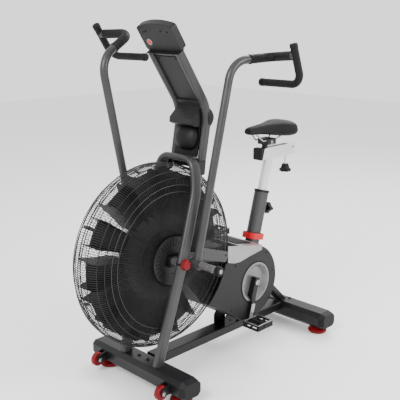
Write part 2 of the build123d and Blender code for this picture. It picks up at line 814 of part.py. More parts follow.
# ---------------------------------------------------------------- mast panels and bottle holder
console_middle = (aft(31), 0, 1335)
tilt_sin = 0.5548
tilt_cos = 0.8320
console_plane = Plane(origin=console_middle, x_dir=(0, 1, 0), z_dir=(tilt_cos, 0, tilt_sin))
panel_half_width = mast_half_gap - 12.5 - fit
cup_centre = (aft(231), 0)
cup_radius = 41.0
cup_bottom = 905.0
with BuildPart() as mast_panels:
    # The upper panel stands between the tubes; the plate above it carries the console.
    with BuildSketch(console_plane):
        with Locations((0, -175)):
            Rectangle(2 * panel_half_width, 228)
    extrude(amount=5)
    with BuildSketch(console_plane.offset(-17)):
        with Locations((0, -55.9)):
            Rectangle(176, 2)
    extrude(amount=36)
    with BuildSketch(side_plane(panel_half_width)):
        with BuildLine():
            Polyline((aft(164), 886), (aft(170), 886), (aft(193), 1000), (aft(187), 1000), close=True)
        make_face()
    extrude(amount=2 * panel_half_width)
    with BuildSketch(Plane.XY.offset(cup_bottom - 1)):
        with Locations(cup_centre):
            Circle(cup_radius + fit)
    extrude(amount=120, mode=Mode.SUBTRACT)
save(mast_panels, "mast_panels")

with BuildPart() as bottle_holder:
    with BuildSketch(side_plane(panel_half_width)):
        with BuildLine():
            Polyline(
                (aft(205), 1092), (aft(140), 1035), (aft(138), 1014), (aft(160), 1004), (aft(205), 1004), close=True,
            )
        make_face()
    extrude(amount=2 * panel_half_width)
    with BuildSketch(Plane.XY.offset(cup_bottom)):
        with Locations(cup_centre):
            Circle(cup_radius)
    extrude(amount=112)
    with BuildSketch(Plane.XY.offset(cup_bottom + 4)):
        with Locations(cup_centre):
            Circle(cup_radius - 3)
    extrude(amount=200, mode=Mode.SUBTRACT)
save(bottle_holder, "bottle_holder")

# ---------------------------------------------------------------- console
console_depth = 32.0
console_height = 108.0
button_radius = 7.0
button_place = (30.0, -38.0)
with BuildPart() as console_housing:
    half_height = console_height / 2
    with BuildSketch(console_plane) as console_outline:
        with BuildLine():
            Polyline(
                (-console_half_width, half_height - 8), (-console_half_width, -half_height),
                (console_half_width, -half_height), (console_half_width, half_height - 8),
            )
            ThreePointArc(
                (console_half_width, half_height - 8), (0, half_height + 7), (-console_half_width, half_height - 8),
            )
        make_face()
        fillet(console_outline.vertices(), 13)
    extrude(amount=console_depth)
    chamfer(console_housing.faces().sort_by(Axis((0, 0, 0), (tilt_cos, 0, tilt_sin)))[-1].edges(), 4)
    with BuildSketch(console_plane.offset(3)):
        RectangleRounded(2 * console_half_width - 6, console_height - 6, 11)
    extrude(amount=console_depth - 13, mode=Mode.SUBTRACT)
    with BuildSketch(console_plane.offset(console_depth)):
        with Locations((0, 12)):
            RectangleRounded(132, 64, 5)
    extrude(amount=-2.5, mode=Mode.SUBTRACT)
    with BuildSketch(console_plane.offset(console_depth)):
        with Locations((-button_place[0], button_place[1]), button_place):
            Circle(button_radius + 0.1)
    extrude(amount=-7, mode=Mode.SUBTRACT)
    with BuildSketch(console_plane):
        with Locations((-62, 26), (62, 26)):
            Circle(4)
    extrude(amount=2.99, mode=Mode.SUBTRACT)
save(console_housing, "console_housing")

with BuildPart() as console_screen:
    with BuildSketch(console_plane.offset(console_depth)):
        with Locations((0, 12)):
            RectangleRounded(131.6, 63.6, 4.8)
    extrude(amount=-2.5)
save(console_screen, "console_screen")

for side, name in ((-1, "left_button"), (1, "right_button")):
    with BuildPart() as button:
        with BuildSketch(console_plane.offset(console_depth - 4.5)):
            with Locations((side * button_place[0], button_place[1])):
                Circle(button_radius)
        extrude(amount=6.5)
        fillet(button.edges().sort_by(Axis((0, 0, 0), (tilt_cos, 0, tilt_sin)))[-1], 1.2)
    save(button, name)

# ---------------------------------------------------------------- drive casing
shroud_side = shroud_half_width - shroud_wall
casing_centre = (aft(452), 305)
casing_radius = 163.0


def arc_ends(inset):
    """Bottom and top ends of the casing's round back, drawn in by the wall."""
    bottom = (casing_centre[0], casing_centre[1] - casing_radius + inset)
    rear = (casing_centre[0] + casing_radius - inset, casing_centre[1])
    reach = (casing_radius - inset) / casing_radius
    top = (casing_centre[0] + 64 * reach, casing_centre[1] + 149.9 * reach)
    return bottom, rear, top


with BuildPart() as casing_blank:
    with BuildSketch(side_plane(-fit / 2)):
        bottom, rear, top = arc_ends(0)
        with BuildLine():
            Polyline(
                top, (aft(512), 439), (aft(491), 437), (aft(423), 428), (aft(374), 419), (aft(338), 421),
                (aft(297), 432), (aft(262), 436), (aft(150), 302), (aft(298), 212), (aft(398), 142), bottom,
            )
            ThreePointArc(bottom, rear, top)
        make_face()
    extrude(amount=shroud_half_width - fit / 2)
    chamfer(casing_blank.faces().sort_by(Axis.Y)[0].edges().filter_by(GeomType.CIRCLE), 6)

with BuildPart() as casing_hollow:
    with BuildSketch(side_plane(0)):
        bottom, rear, top = arc_ends(shroud_wall)
        with BuildLine():
            Polyline(
                top, (aft(500), 480), (aft(140), 480), (aft(140), 312), (aft(299.8), 215), (aft(399.2), 145.5),
                bottom,
            )
            ThreePointArc(bottom, rear, top)
        make_face()
    extrude(amount=shroud_side)
    with BuildSketch(side_plane(0)):
        with Locations((aft(0), fan_z)):
            Circle(guard_radius + 12)
    extrude(amount=shroud_side, mode=Mode.SUBTRACT)

with BuildPart() as guard_room:
    with BuildSketch(side_plane(shroud_side)):
        with Locations((aft(0), fan_z)):
            Circle(guard_radius + 9)
    extrude(amount=2 * shroud_side)

with BuildPart() as tube_room:
    with BuildSketch(seat_tube_plane(-30)):
        SlotOverall(seat_tube_long + 1, seat_tube_wide + 1)
    extrude(amount=seat_tube_length)
    with BuildSketch(along(strut_foot, strut_head)):
        Rectangle(29, 45)
    extrude(amount=340)
    with Locations((aft(401), 0, 120)):
        Box(82, rail_width + 1, 90)

ring_place = seat_tube_plane(376)
with BuildPart() as ring_room:
    with BuildSketch(ring_place.offset(-13.5)):
        RectangleRounded(105, 67, 27)
    extrude(amount=28)

with BuildPart() as stay_room:
    with BuildSketch(side_plane(-stay_inner + 0.5)):
        with BuildLine():
            Polyline(
                (aft(100), 540), (aft(300), 482), (aft(400), 446), (aft(400), 399), (aft(300), 435),
                (aft(100), 480), close=True,
            )
        make_face()
    extrude(amount=stay_outer - stay_inner + 1)
    mirror(about=Plane.XZ)

with BuildPart() as left_shroud:
    add(casing_blank.part)
    add(casing_hollow.part, mode=Mode.SUBTRACT)
    # The front edge follows the cage's flat side.
    with BuildSketch(side_plane(0)):
        with Locations((aft(0), fan_z)):
            Circle(guard_flat_radius + 3)
    extrude(amount=shroud_half_width, mode=Mode.SUBTRACT)
    add(guard_room.part, mode=Mode.SUBTRACT)
    add(tube_room.part, mode=Mode.SUBTRACT)
    add(ring_room.part, mode=Mode.SUBTRACT)
    add(stay_room.part, mode=Mode.SUBTRACT)
    with BuildSketch(side_plane(-shroud_side + 1)):
        with Locations((aft(crank_aft), crank_z)):
            Circle(crank_disc_radius + 2)
    extrude(amount=20, mode=Mode.SUBTRACT)
save(left_shroud, "left_shroud")

with BuildPart() as right_shroud:
    add(left_shroud.part)
    mirror(about=Plane.XZ, mode=Mode.REPLACE)
    with Locations((aft(320), belt_y, 370)):
        Box(120, 24, 260, mode=Mode.SUBTRACT)
save(right_shroud, "right_shroud")

with BuildPart() as shroud_top_cover:
    with BuildSketch(side_plane(shroud_half_width)):
        with BuildLine():
            Polyline(
                (aft(297), 504), (aft(512), 462), (aft(512), 439.5), (aft(491), 437.5), (aft(423), 428.5),
                (aft(374), 419.5), (aft(338), 421.5), (aft(297), 433.5), close=True,
            )
        make_face()
    extrude(amount=2 * shroud_half_width)
    with BuildSketch(side_plane(shroud_side)):
        with BuildLine():
            Polyline(
                (aft(290), 501), (aft(508.5), 458.5), (aft(508.5), 400), (aft(290), 400), close=True,
            )
        make_face()
        with Locations((aft(0), fan_z)):
            Circle(guard_radius + 12, mode=Mode.SUBTRACT)
    extrude(amount=2 * shroud_side, mode=Mode.SUBTRACT)
    add(guard_room.part, mode=Mode.SUBTRACT)
    add(tube_room.part, mode=Mode.SUBTRACT)
    add(ring_room.part, mode=Mode.SUBTRACT)
    add(stay_room.part, mode=Mode.SUBTRACT)
    with Locations((aft(340), belt_y, 440)):
        Box(100, 24, 60, mode=Mode.SUBTRACT)
save(shroud_top_cover, "shroud_top_cover")

with BuildPart() as side_panels:
    with BuildSketch(side_plane(-stay_outer - fit)):
        with BuildLine():
            Polyline(
                (aft(139), 538), (aft(271), 491), (aft(296), 482), (aft(296), 462), (aft(281), 441),
                (aft(124), 493), (aft(122), 515), close=True,
            )
        make_face()
    extrude(amount=shroud_half_width - stay_outer - fit)
    mirror(about=Plane.XZ)
save(side_panels, "side_panels")

with BuildPart() as seat_tube_trim:
    with BuildSketch(ring_place.offset(-13)):
        RectangleRounded(104, 66, 26)
    extrude(amount=26)
    with BuildSketch(ring_place.offset(3)):
        RectangleRounded(92, 54, 20)
    extrude(amount=22, mode=Mode.SUBTRACT)
    with BuildSketch(seat_tube_plane(-30)):
        SlotOverall(seat_tube_long + 0.6, seat_tube_wide + 0.6)
    extrude(amount=seat_tube_length, mode=Mode.SUBTRACT)
save(seat_tube_trim, "seat_tube_trim")

# ---------------------------------------------------------------- seat post, head and knobs
post_bottom = 371.0
post_top = 730.5
head_front = 606.0
head_rear = 842.0
head_bottom = 806.0
head_top = 854.0
knob_aft = 800.0
with BuildPart() as seat_post:
    with BuildSketch(seat_tube_plane(post_bottom)):
        SlotOverall(post_long, post_wide)
        SlotOverall(post_long - 6, post_wide - 6, mode=Mode.SUBTRACT)
    extrude(amount=post_top + 20 - post_bottom)
    split(bisect_by=Plane.XY.offset(head_bottom), keep=Keep.BOTTOM)
save(seat_post, "seat_post")

with BuildPart() as post_head:
    with Locations((aft((head_front + head_rear) / 2), 0, (head_top + head_bottom) / 2)):
        Box(head_rear - head_front, 44, head_top - head_bottom)
        Box(head_rear - head_front - 6, 38, head_top - head_bottom - 6, mode=Mode.SUBTRACT)
    with Locations((aft(720), 0, head_top)):
        Box(167, 26, 12, mode=Mode.SUBTRACT)
    with BuildSketch(side_plane(23)):
        with BuildLine():
            Polyline(
                (aft(600), 808), (aft(600), 850), (aft(604), 855), (aft(head_front), head_top),
                (aft(head_front), head_bottom), (aft(603), 805), close=True,
            )
        make_face()
    extrude(amount=46)
    with BuildSketch(Plane.XY.offset(head_bottom - 1)):
        with Locations((aft(knob_aft), 0)):
            Circle(6.05)
    extrude(amount=8, mode=Mode.SUBTRACT)
save(post_head, "post_head")

with BuildPart() as head_knob:
    with BuildSketch(Plane.XY.offset(726)):
        with Locations((aft(knob_aft), 0)):
            Circle(22)
            with PolarLocations(20, 6):
                Circle(7)
    extrude(amount=13)
    with BuildSketch(Plane.XY.offset(739)):
        with Locations((aft(knob_aft), 0)):
            Circle(20)
    extrude(amount=22, taper=18)
    with BuildSketch(Plane.XY.offset(760)):
        with Locations((aft(knob_aft), 0)):
            Circle(6)
    extrude(amount=53)
save(head_knob, "head_knob")

knob_plane = seat_tube_plane(seat_tube_length - 70).rotated((0, 90, 0))
with BuildPart() as post_knob:
    with BuildSketch(knob_plane.offset(25.6)):
        Circle(5.25)
    extrude(amount=34)
    with BuildSketch(knob_plane.offset(39.6)):
        Circle(11)
    extrude(amount=12)
    with BuildSketch(knob_plane.offset(50)):
        Circle(19)
        with PolarLocations(18, 4):
            Circle(8)
    extrude(amount=24)
save(post_knob, "post_knob")

# ---------------------------------------------------------------- saddle
carriage_aft = 650.0
rail_z = 889.0
with BuildPart() as saddle_carriage:
    with BuildSketch(Plane.XY.offset(head_top - 9.05)):
        with Locations((aft(carriage_aft), 0)):
            Rectangle(32, 36)
    extrude(amount=6)
    with BuildSketch(Plane.XY.offset(head_top - 4)):
        with Locations((aft(carriage_aft), 0)):
            Circle(12.95)
    extrude(amount=22)
    with Locations((aft(carriage_aft + 14), 0, rail_z - 7)):
        Box(56, 58, 26)
    with BuildSketch(Plane.YZ.offset(aft(600))):
        with Locations((-22, rail_z), (22, rail_z)):
            Circle(3.55)
    extrude(amount=110, mode=Mode.SUBTRACT)
save(saddle_carriage, "saddle_carriage")

with BuildPart() as saddle_rails:
    with BuildLine() as rail_path:
        FilletPolyline(
            (aft(572), -12, 924), (aft(612), -22, rail_z), (aft(702), -22, rail_z), (aft(740), -36, 912), radius=16,
        )
    with BuildSketch(Plane(origin=rail_path.line @ 0, z_dir=rail_path.line % 0)):
        Circle(3.5)
    sweep()
    mirror(about=Plane.XZ)
save(saddle_rails, "saddle_rails")

with BuildPart() as saddle_side:
    with BuildSketch(side_plane(120)):
        with BuildLine():
            Polyline(
                (aft(524), 928), (aft(532), 950), (aft(610), 957), (aft(690), 962), (aft(750), 967),
                (aft(800), 960), (aft(800), 908), (aft(760), 900), (aft(725), 908), (aft(610), 917),
                (aft(550), 922), close=True,
            )
        make_face()
    extrude(amount=240)

with BuildPart() as saddle:
    with BuildSketch(Plane.XY.offset(880)):
        with BuildLine():
            Spline(
                (aft(530), 0), (aft(537), -15), (aft(612), -20), (aft(682), -40), (aft(732), -69),
                (aft(764), -73), (aft(788), -46), (aft(793), 0), tangents=((0, -1), (0, 1)),
            )
            Line((aft(793), 0), (aft(530), 0))
        make_face()
        mirror(about=Plane.XZ)
    extrude(amount=100)
    add(saddle_side.part, mode=Mode.INTERSECT)
    add(saddle_rails.part, mode=Mode.SUBTRACT)
save(saddle, "saddle")
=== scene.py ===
"""Air bike: finishes, wire cage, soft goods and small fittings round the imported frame."""
import json
import math

import bmesh
import bpy
from mathutils import Matrix, Vector


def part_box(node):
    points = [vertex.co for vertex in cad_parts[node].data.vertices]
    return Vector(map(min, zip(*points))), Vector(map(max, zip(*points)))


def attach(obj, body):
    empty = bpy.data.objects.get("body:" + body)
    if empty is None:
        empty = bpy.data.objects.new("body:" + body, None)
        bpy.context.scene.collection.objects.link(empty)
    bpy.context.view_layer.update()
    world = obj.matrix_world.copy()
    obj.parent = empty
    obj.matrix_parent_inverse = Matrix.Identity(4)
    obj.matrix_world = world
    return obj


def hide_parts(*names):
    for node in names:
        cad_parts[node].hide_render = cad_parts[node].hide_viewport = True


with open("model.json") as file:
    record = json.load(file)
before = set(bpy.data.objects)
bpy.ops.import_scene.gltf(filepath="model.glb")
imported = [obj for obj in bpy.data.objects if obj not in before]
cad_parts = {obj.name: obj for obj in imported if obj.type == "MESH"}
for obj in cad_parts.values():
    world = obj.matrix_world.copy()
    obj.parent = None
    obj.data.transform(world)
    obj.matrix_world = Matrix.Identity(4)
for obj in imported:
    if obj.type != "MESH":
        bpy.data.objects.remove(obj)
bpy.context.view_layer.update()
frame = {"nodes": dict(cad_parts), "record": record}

nodes = frame["nodes"]

X = Vector((1, 0, 0))
Y = Vector((0, 1, 0))
Z = Vector((0, 0, 1))
both_sides = ((-1, "left"), (1, "right"))

# Distances in millimetres: behind the fan axle, out from the middle plane, above the floor.
fan_axle_x = -0.2435
crank_back = 473
crank_up = 303
casing_face = 112
pivot_back = 54
pivot_up = 507
wheel_back = -154
wheel_up = 58
front_tube_back = -72
rear_feet_back = 802
rear_tube_back = 822
tube_top = 104
feet_across = 215
head_knob_back = 800


# ---------------------------------------------------------------- camera, light and world
camera_place = Vector((-1.9694, -1.9551, 1.4084))
camera_yaw = math.radians(44.7593)
camera_pitch = math.radians(-14.5182)
world_strength = 1.6

camera_data = bpy.data.cameras.new("camera")
camera_data.lens = 63.48
camera_data.sensor_width = 36
camera = bpy.data.objects.new("camera", camera_data)
bpy.context.scene.collection.objects.link(camera)
view = Vector((
    math.cos(camera_yaw) * math.cos(camera_pitch),
    math.sin(camera_yaw) * math.cos(camera_pitch),
    math.sin(camera_pitch),
))
camera.location = camera_place
camera.rotation_euler = view.to_track_quat("-Z", "Y").to_euler()
bpy.context.scene.camera = camera


def area_light(name, place, target, size, power):
    data = bpy.data.lights.new(name, "AREA")
    data.shape = "DISK"
    data.size = size
    data.energy = power
    lamp = bpy.data.objects.new(name, data)
    lamp.location = place
    lamp.rotation_euler = (Vector(target) - Vector(place)).to_track_quat("-Z", "Y").to_euler()
    bpy.context.scene.collection.objects.link(lamp)


area_light("key", (-3.0, -0.6, 3.0), (0, 0, 0.6), 1.6, 150)
area_light("side", (1.4, -3.4, 2.2), (0, 0, 0.6), 1.4, 130)
area_light("back", (3.0, 0.9, 3.4), (0, 0, 0.7), 2.0, 110)

world = bpy.data.worlds.new("studio")
bpy.context.scene.world = world
world.use_nodes = True
world.node_tree.nodes["Background"].inputs["Color"].default_value = (1, 1, 1, 1)
world.node_tree.nodes["Background"].inputs["Strength"].default_value = world_strength


# ---------------------------------------------------------------- materials
mottle_scale = 14
fine_share = 0.35
relief_depth = 0.001


def add_noise(tree_nodes, links, stretch, scale, detail=4.0):
    coords = tree_nodes.new("ShaderNodeTexCoord")
    mapping = tree_nodes.new("ShaderNodeMapping")
    mapping.inputs["Scale"].default_value = stretch
    links.new(coords.outputs["Object"], mapping.inputs["Vector"])
    noise = tree_nodes.new("ShaderNodeTexNoise")
    noise.inputs["Scale"].default_value = scale
    noise.inputs["Detail"].default_value = detail
    links.new(mapping.outputs["Vector"], noise.inputs["Vector"])
    return noise


def surface(
    name, dark, light, rough=(0.4, 0.55), metallic=0.0, grain=900, bump=0.06, stretch=(1, 1, 1), coat=0.0,
    gleam=0.5,
):
    """A finish with a mottled colour, uneven gloss and a fine grain, all from noise."""
    material = bpy.data.materials.new(name)
    material.use_nodes = True
    tree_nodes = material.node_tree.nodes
    links = material.node_tree.links
    shader = tree_nodes["Principled BSDF"]
    broad = add_noise(tree_nodes, links, (1, 1, 1), mottle_scale)
    fine = add_noise(tree_nodes, links, stretch, grain, 2.0)
    ramp = tree_nodes.new("ShaderNodeValToRGB")
    ramp.color_ramp.elements[0].position = 0.3
    ramp.color_ramp.elements[1].position = 0.7
    ramp.color_ramp.elements[0].color = (*dark, 1)
    ramp.color_ramp.elements[1].color = (*light, 1)
    mix = tree_nodes.new("ShaderNodeMath")
    mix.operation = "MULTIPLY_ADD"
    mix.inputs[1].default_value = fine_share
    links.new(fine.outputs["Fac"], mix.inputs[0])
    scaled = tree_nodes.new("ShaderNodeMath")
    scaled.operation = "MULTIPLY"
    scaled.inputs[1].default_value = 1 - fine_share
    links.new(broad.outputs["Fac"], scaled.inputs[0])
    links.new(scaled.outputs[0], mix.inputs[2])
    links.new(mix.outputs[0], ramp.inputs["Fac"])
    links.new(ramp.outputs["Color"], shader.inputs["Base Color"])
    gloss = tree_nodes.new("ShaderNodeMapRange")
    gloss.inputs["To Min"].default_value = rough[0]
    gloss.inputs["To Max"].default_value = rough[1]
    links.new(broad.outputs["Fac"], gloss.inputs["Value"])
    links.new(gloss.outputs["Result"], shader.inputs["Roughness"])
    relief = tree_nodes.new("ShaderNodeBump")
    relief.inputs["Strength"].default_value = bump
    relief.inputs["Distance"].default_value = relief_depth
    links.new(fine.outputs["Fac"], relief.inputs["Height"])
    links.new(relief.outputs["Normal"], shader.inputs["Normal"])
    shader.inputs["Metallic"].default_value = metallic
    shader.inputs["Coat Weight"].default_value = coat
    shader.inputs["Specular IOR Level"].default_value = gleam
    return material


def pebbled(name, dark, light, cell, bump, gleam):
    """Leather or foam: small raised cells with darker creases."""
    material = surface(name, dark, light, rough=(0.5, 0.65), grain=1400, bump=0.05, gleam=gleam)
    tree = material.node_tree
    coords = tree.nodes.new("ShaderNodeTexCoord")
    cells = tree.nodes.new("ShaderNodeTexVoronoi")
    cells.inputs["Scale"].default_value = cell
    tree.links.new(coords.outputs["Object"], cells.inputs["Vector"])
    relief = tree.nodes.new("ShaderNodeBump")
    relief.inputs["Strength"].default_value = bump
    relief.inputs["Distance"].default_value = relief_depth
    relief.invert = True
    tree.links.new(cells.outputs["Distance"], relief.inputs["Height"])
    tree.links.new(relief.outputs["Normal"], tree.nodes["Principled BSDF"].inputs["Normal"])
    return material


materials = {
    "dark_steel": surface(
        "dark_steel", (0.0035, 0.0035, 0.004), (0.007, 0.007, 0.008), rough=(0.26, 0.38), gleam=0.26,
    ),
    "black_steel": surface(
        "black_steel", (0.003, 0.003, 0.0035), (0.006, 0.006, 0.0065), rough=(0.34, 0.46), gleam=0.25,
    ),
    "grey_steel": surface(
        "grey_steel", (0.030, 0.030, 0.031), (0.042, 0.042, 0.043), rough=(0.3, 0.42), metallic=0.25,
        grain=2600, gleam=0.3,
    ),
    "black_plastic": surface(
        "black_plastic", (0.0025, 0.0025, 0.003), (0.005, 0.005, 0.0055), rough=(0.45, 0.6), bump=0.14,
        gleam=0.18,
    ),
    "charcoal_plastic": surface(
        "charcoal_plastic", (0.008, 0.008, 0.0085), (0.012, 0.012, 0.0125), rough=(0.44, 0.58), bump=0.16,
        grain=1300, gleam=0.22,
    ),
    "grey_plastic": surface(
        "grey_plastic", (0.030, 0.030, 0.031), (0.040, 0.040, 0.041), rough=(0.38, 0.5), bump=0.1, gleam=0.3,
    ),
    "silver_plastic": surface(
        "silver_plastic", (0.22, 0.22, 0.223), (0.28, 0.28, 0.283), rough=(0.25, 0.36), metallic=0.4,
        grain=2600,
    ),
    "red_plastic": surface(
        "red_plastic", (0.44, 0.002, 0.007), (0.55, 0.003, 0.011), rough=(0.3, 0.42), bump=0.08, gleam=0.25,
    ),
    "dark_red": surface(
        "dark_red", (0.10, 0.001, 0.003), (0.16, 0.002, 0.005), rough=(0.4, 0.55), bump=0.12, gleam=0.2,
    ),
    "bright_steel": surface(
        "bright_steel", (0.24, 0.24, 0.25), (0.38, 0.38, 0.39), rough=(0.2, 0.34), metallic=0.9, grain=1500,
        stretch=(1, 0.06, 1),
    ),
    "chrome": surface(
        "chrome", (0.62, 0.62, 0.63), (0.72, 0.72, 0.73), rough=(0.16, 0.26), metallic=0.7, grain=1800,
    ),
    "wire": surface(
        "wire", (0.004, 0.004, 0.0045), (0.012, 0.012, 0.0125), rough=(0.3, 0.45), metallic=0.1, gleam=0.3,
    ),
    "fan_metal": surface(
        "fan_metal", (0.002, 0.002, 0.0025), (0.004, 0.004, 0.0045), rough=(0.36, 0.5), bump=0.1, gleam=0.2,
    ),
    "disc_metal": surface(
        "disc_metal", (0.13, 0.13, 0.132), (0.18, 0.18, 0.182), rough=(0.28, 0.4), metallic=0.6, grain=1600,
    ),
    "rubber": pebbled("rubber", (0.003, 0.003, 0.0035), (0.006, 0.006, 0.0065), 900, 0.35, gleam=0.15),
    "saddle_cover": pebbled(
        "saddle_cover", (0.004, 0.004, 0.0045), (0.007, 0.007, 0.0075), 520, 0.5, gleam=0.13,
    ),
    "screen": surface(
        "screen", (0.006, 0.008, 0.008), (0.01, 0.013, 0.012), rough=(0.08, 0.14), bump=0.0, coat=0.3,
    ),
}

for entry in frame["record"]["subparts"]:
    node = nodes[entry["node"]]
    finish = materials[entry["material_slot"]]
    if not node.material_slots:
        node.data.materials.append(finish)
    for place in node.material_slots:
        place.material = finish


# ---------------------------------------------------------------- modifiers
def soften(piece, width, angle=30):
    """Round a piece's sharp edges with a narrow bevel."""
    rounding = piece.modifiers.new("soft_edges", "BEVEL")
    rounding.width = width
    rounding.segments = 2
    rounding.limit_method = "ANGLE"
    rounding.angle_limit = math.radians(angle)


def crisp(piece):
    """Keep a smooth-shaded piece's sharp edges sharp."""
    piece.modifiers.new("edges", "EDGE_SPLIT").split_angle = math.radians(35)


# Folded, moulded and welded pieces of the frame get softened edges.
soft_edges = {
    "stabilizers": 0.0018, "stabilizer_end_caps": 0.0015, "frame_brackets": 0.0008, "frame_stays": 0.0012,
    "mast_bracket": 0.001, "left_shroud": 0.0012, "right_shroud": 0.0012, "shroud_top_cover": 0.0015,
    "side_panels": 0.0008, "post_head": 0.0016, "seat_tube_trim": 0.0012, "crank_arms": 0.0012,
    "rear_strut": 0.001, "bottle_holder": 0.001, "saddle_carriage": 0.0012, "front_feet": 0.001,
    "left_rear_foot": 0.001, "right_rear_foot": 0.001, "peg_caps": 0.0008, "post_knob": 0.0012,
    "head_knob": 0.0012, "left_pedal": 0.001, "right_pedal": 0.001, "crank_discs": 0.0004,
    "guard_hub_plates": 0.0004, "axle_caps": 0.0006,
}
for name, width in soft_edges.items():
    soften(nodes[name], width, 40)


# ---------------------------------------------------------------- mesh helpers
def at(rearward, across, up):
    """A point from millimetres behind the fan axle, to the right and above the floor."""
    return Vector((rearward / 1000 + fan_axle_x, across / 1000, up / 1000))


def corners(name):
    """The low and high corners of a CAD node's box."""
    low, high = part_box(name)
    return Vector(low), Vector(high)


def turns(count, phase=0.0):
    """Angles that share a full turn evenly."""
    return [2 * math.pi * (i + phase) / count for i in range(count)]


def upright_spoke(turn):
    """Outward and onward unit vectors at an angle in the fan's plane."""
    return Vector((math.cos(turn), 0, math.sin(turn))), Vector((-math.sin(turn), 0, math.cos(turn)))


def level_spoke(turn):
    """Outward and onward unit vectors at an angle in a level plane."""
    return Vector((math.cos(turn), math.sin(turn), 0)), Vector((-math.sin(turn), math.cos(turn), 0))


def signed_power(value, power):
    return math.copysign(abs(value) ** power, value)


def mesh_object(name, vertices, faces, slot, body, smooth=True):
    mesh = bpy.data.meshes.new(name)
    mesh.from_pydata([tuple(v) for v in vertices], [], faces)
    mesh.update()
    shaped = bmesh.new()
    shaped.from_mesh(mesh)
    bmesh.ops.recalc_face_normals(shaped, faces=shaped.faces)
    shaped.to_mesh(mesh)
    shaped.free()
    if smooth:
        mesh.shade_smooth()
    made = bpy.data.objects.new(name, mesh)
    bpy.context.scene.collection.objects.link(made)
    made.data.materials.append(materials[slot])
    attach(made, body)
    return made


def skin(start, count, sides, closed=False):
    """Faces over a row of like rings of vertices, capped at both ends unless the row closes."""
    faces = []
    for i in range(count if closed else count - 1):
        a = start + i * sides
        b = start + (i + 1) % count * sides
        for k in range(sides):
            n = (k + 1) % sides
            faces.append((a + k, a + n, b + n, b + k))
    if not closed:
        last = start + (count - 1) * sides
        faces.append(tuple(range(start, start + sides)))
        faces.append(tuple(range(last, last + sides)))
    return faces


def tube_rings(path, across, radius, sides, closed):
    """Rings of vertices round a path; across is square to the path all along it."""
    rings = []
    count = len(path)
    for i, point in enumerate(path):
        before = path[(i - 1) % count] if closed or i else path[0]
        after = path[(i + 1) % count] if closed or i < count - 1 else path[-1]
        heading = (after - before).normalized()
        side = across - heading * across.dot(heading)
        side.normalize()
        up = heading.cross(side)
        rings.append([
            point + side * (radius * math.cos(turn)) + up * (radius * math.sin(turn))
            for turn in turns(sides, 0.5)
        ])
    return rings


def tubes(name, lines, radius, sides, slot, body):
    """One mesh of round wires; each line is (points, across, closed)."""
    vertices = []
    faces = []
    for path, across, closed in lines:
        faces += skin(len(vertices), len(path), sides, closed)
        for ring in tube_rings(path, across, radius, sides, closed):
            vertices.extend(ring)
    return mesh_object(name, vertices, faces, slot, body)


def plates(name, outlines, thick, slot, body, edge=0.0006):
    """Like plates in one mesh, with soft edges; thick is one vector for all or one per plate."""
    vertices = []
    faces = []
    for index, outline in enumerate(outlines):
        depth = Vector(thick[index]) if isinstance(thick, list) else Vector(thick)
        start = len(vertices)
        count = len(outline)
        vertices += [Vector(p) for p in outline] + [Vector(p) + depth for p in outline]
        faces.append(tuple(range(start, start + count)))
        faces.append(tuple(range(start + 2 * count - 1, start + count - 1, -1)))
        for i in range(count):
            n = (i + 1) % count
            faces.append((start + i, start + n, start + n + count, start + i + count))
    made = mesh_object(name, vertices, faces, slot, body, smooth=False)
    soften(made, edge)
    return made


def rounded_patch(centre, right, up, half_width, half_height, corner, steps=5):
    """The outline of a rounded rectangle on the plane of two unit vectors."""
    points = []
    for quarter, (sx, sy) in enumerate(((1, 1), (-1, 1), (-1, -1), (1, -1))):
        for i in range(steps + 1):
            a = math.pi / 2 * quarter + math.pi / 2 * i / steps
            x = sx * (half_width - corner) + corner * math.cos(a)
            y = sy * (half_height - corner) + corner * math.sin(a)
            points.append(Vector(centre) + Vector(right) * x + Vector(up) * y)
    return points


def turned(name, profile, places, axis, slot, body, sides=32):
    """Like turned pieces in one mesh: profile is (distance along the axis, radius) pairs, base first."""
    axis = Vector(axis).normalized()
    across = axis.orthogonal().normalized()
    other = axis.cross(across)
    vertices = []
    faces = []
    for place in places:
        faces += skin(len(vertices), len(profile), sides)
        for out, radius in profile:
            for turn in turns(sides):
                offset = across * math.cos(turn) + other * math.sin(turn)
                vertices.append(Vector(place) + axis * out + offset * radius)
    crisp(mesh_object(name, vertices, faces, slot, body))


def bolts(name, places, axis, radius, body, slot="bright_steel"):
    """Like screws in one mesh: a washer and a low round head with a drive recess."""
    r = radius
    profile = (
        (-0.001, 1.4 * r), (0.0010, 1.4 * r), (0.0013, r), (0.5 * r, 0.96 * r), (0.75 * r, 0.74 * r),
        (0.8 * r, 0.46 * r), (0.35 * r, 0.42 * r),
    )
    turned(name, profile, places, axis, slot, body, 18)


def weld(name, centre, half_long, half_wide, radius):
    """A rippled bead round the foot of a tube that stands on the frame."""
    path = []
    for turn in turns(96):
        ripple = 1 + 0.012 * math.sin(24 * turn)
        path.append(
            Vector(centre) + X * (half_long * ripple * signed_power(math.cos(turn), 0.7))
            + Y * (half_wide * ripple * signed_power(math.sin(turn), 0.7))
        )
    tubes(name, [(path, Z, True)], radius, 8, "black_steel", "frame")


# ---------------------------------------------------------------- floor
half_floor = 7.0
floor_mesh = bpy.data.meshes.new("floor")
floor_mesh.from_pydata(
    [(sx * half_floor, sy * half_floor, 0) for sx, sy in ((-1, -1), (1, -1), (1, 1), (-1, 1))],
    [], [(0, 1, 2, 3)],
)
floor = bpy.data.objects.new("floor", floor_mesh)
floor.location = (2.0, 2.0, -0.0005)
bpy.context.scene.collection.objects.link(floor)
floor.data.materials.append(
    surface("floor", (0.86, 0.86, 0.86), (0.88, 0.88, 0.88), rough=(0.5, 0.6), bump=0.01)
)

